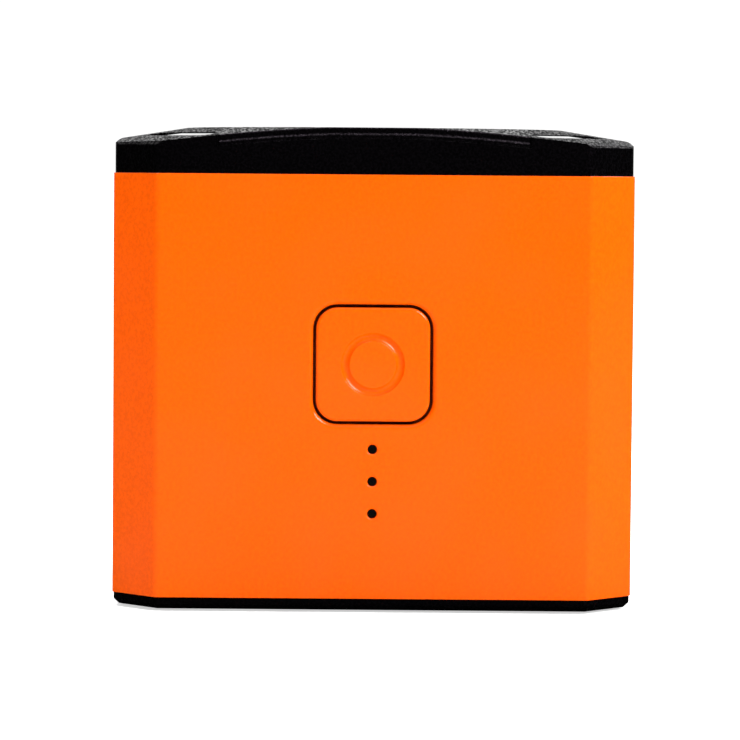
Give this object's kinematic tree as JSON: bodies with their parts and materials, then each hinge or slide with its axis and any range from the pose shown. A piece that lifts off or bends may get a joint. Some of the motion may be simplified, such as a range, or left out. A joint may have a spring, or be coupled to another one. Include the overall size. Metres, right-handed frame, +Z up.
{
  "type": "power station",
  "caption": "Compact power station: octagonal case with domed cap and base, push button, charge lights, corner lamps and a hinged door over its output ports.",
  "frame": {"origin": "on the floor under the middle of the case, level with the undersides of the feet", "axes": "+Z up, +X to the right as seen from the front, +Y from the front face with the button to the back"},
  "size_m": [0.083, 0.062, 0.0767],
  "materials": {
    "orange_plastic": "matte",
    "black_plastic": "satin",
    "black_rubber": "matte",
    "smoked_lens": "gloss",
    "circuit_board": "satin",
    "led": "satin",
    "component_black": "matte",
    "white_plastic": "matte",
    "steel": "satin",
    "brass": "satin",
    "capacitor_can": "satin",
    "cell_wrap": "gloss",
    "nickel": "satin",
    "insulating_sheet": "matte",
    "lead_insulation": "satin"
  },
  "bodies": {
    "case": {"sleeve": "orange_plastic", "base_plate": "black_plastic", "base_gasket": "black_rubber", "foot_front_left": "black_rubber", "foot_front_right": "black_rubber", "foot_rear_left": "black_rubber", "foot_rear_right": "black_rubber", "cap_shell": "black_plastic", "cap_gasket": "black_rubber", "grip_pad": "black_rubber", "corner_lens_front_left": "smoked_lens", "corner_lens_front_right": "smoked_lens", "corner_lens_rear_left": "smoked_lens", "corner_lens_rear_right": "smoked_lens", "lamp_boards": "circuit_board", "lamp_leds": "led", "switch_body": "component_black", "control_board": "circuit_board", "control_board_screws": "steel", "charge_leds": "led", "light_pipe": "smoked_lens", "ribbon_cable": "white_plastic", "hinge_pin": "steel", "port_panel": "black_plastic", "door_seal": "black_rubber", "usb_a_shell_left": "steel", "usb_a_shell_right": "steel", "usb_a_core_left": "white_plastic", "usb_a_core_right": "white_plastic", "usb_c_shell": "steel", "usb_c_core": "component_black", "dc_jack_body": "component_black", "dc_jack_pin": "brass", "main_board": "circuit_board", "main_board_screws": "steel", "power_inductor": "component_black", "filter_capacitors": "capacitor_can", "converter_chips": "component_black", "cell_1": "cell_wrap", "cell_2": "cell_wrap", "cell_3": "cell_wrap", "cell_4": "cell_wrap", "cell_5": "cell_wrap", "cell_6": "cell_wrap", "cell_7": "cell_wrap", "cell_8": "cell_wrap", "cell_holder_bottom": "white_plastic", "cell_holder_top": "white_plastic", "nickel_strips_bottom": "nickel", "nickel_strips_top": "nickel", "insulator_bottom": "insulating_sheet", "insulator_top": "insulating_sheet", "protection_board": "circuit_board", "protection_board_screws": "steel", "battery_leads": "lead_insulation", "case_screws": "steel", "threaded_inserts": "brass"},
    "button": {"power_button": "orange_plastic"},
    "plunger": {"switch_plunger": "white_plastic"},
    "door": {"port_door": "orange_plastic"}
  },
  "joints": [
    {"name": "button_press", "type": "slide", "parent": "case", "child": "button", "axis": [0, 1, 0], "range_m": [0, 0.0006], "stiffness_N_per_m": 2000, "springref_m": -0.0004},
    {"name": "plunger_press", "type": "slide", "parent": "case", "child": "plunger", "axis": [0, 1, 0], "range_m": [0, 0.0006]},
    {"name": "door_hinge", "type": "hinge", "parent": "case", "child": "door", "pos_m": [0, 0.03, 0.0167], "axis": [-1, 0, 0], "range_deg": [0, 95]}
  ],
  "couplings": [
    {"joint": "plunger_press", "follows": "button_press", "ratio": 1}
  ]
}
